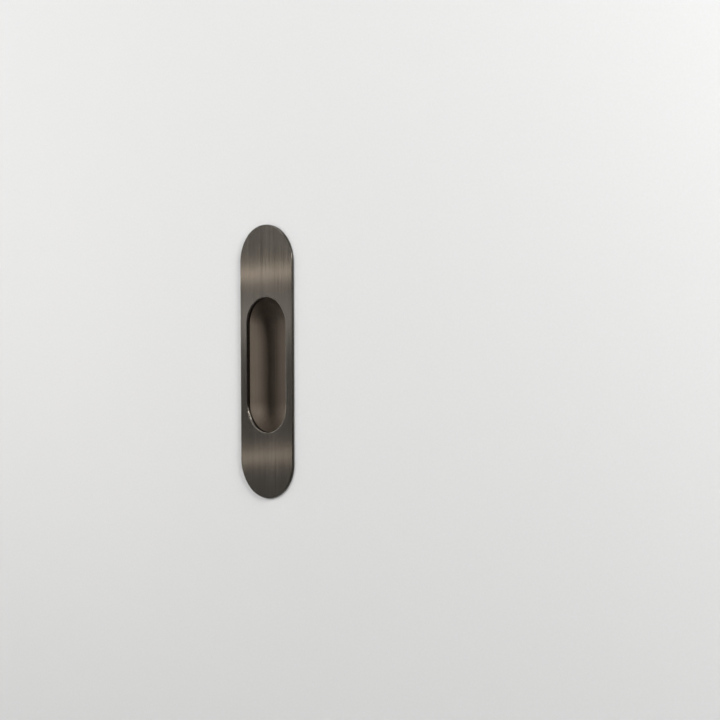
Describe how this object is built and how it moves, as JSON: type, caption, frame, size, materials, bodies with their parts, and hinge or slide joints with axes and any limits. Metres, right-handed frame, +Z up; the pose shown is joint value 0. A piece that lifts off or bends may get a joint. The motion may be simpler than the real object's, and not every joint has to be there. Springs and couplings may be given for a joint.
{
  "type": "pocket door pull",
  "caption": "Obround flush pull for a sliding door's edge: brushed face plate with a half-round finger recess, pushed on over a cup that hidden screws hold in the wood.",
  "frame": {"origin": "middle of the plane where the plate's rim rests on the wood", "axes": "+X across the pull, +Y into the wood, +Z up along the pull's length; the front faces -Y"},
  "size_m": [0.03, 0.0217, 0.11],
  "materials": {
    "plate_brushed": "brushed along the length, dark graphite bronze",
    "cup_satin": "smooth satin, dark graphite bronze",
    "screw_steel": "bright zinc plated"
  },
  "bodies": {
    "root": {"face_plate": "plate_brushed", "finger_cup": "cup_satin", "fixing_screws": "screw_steel"}
  },
  "joints": []
}
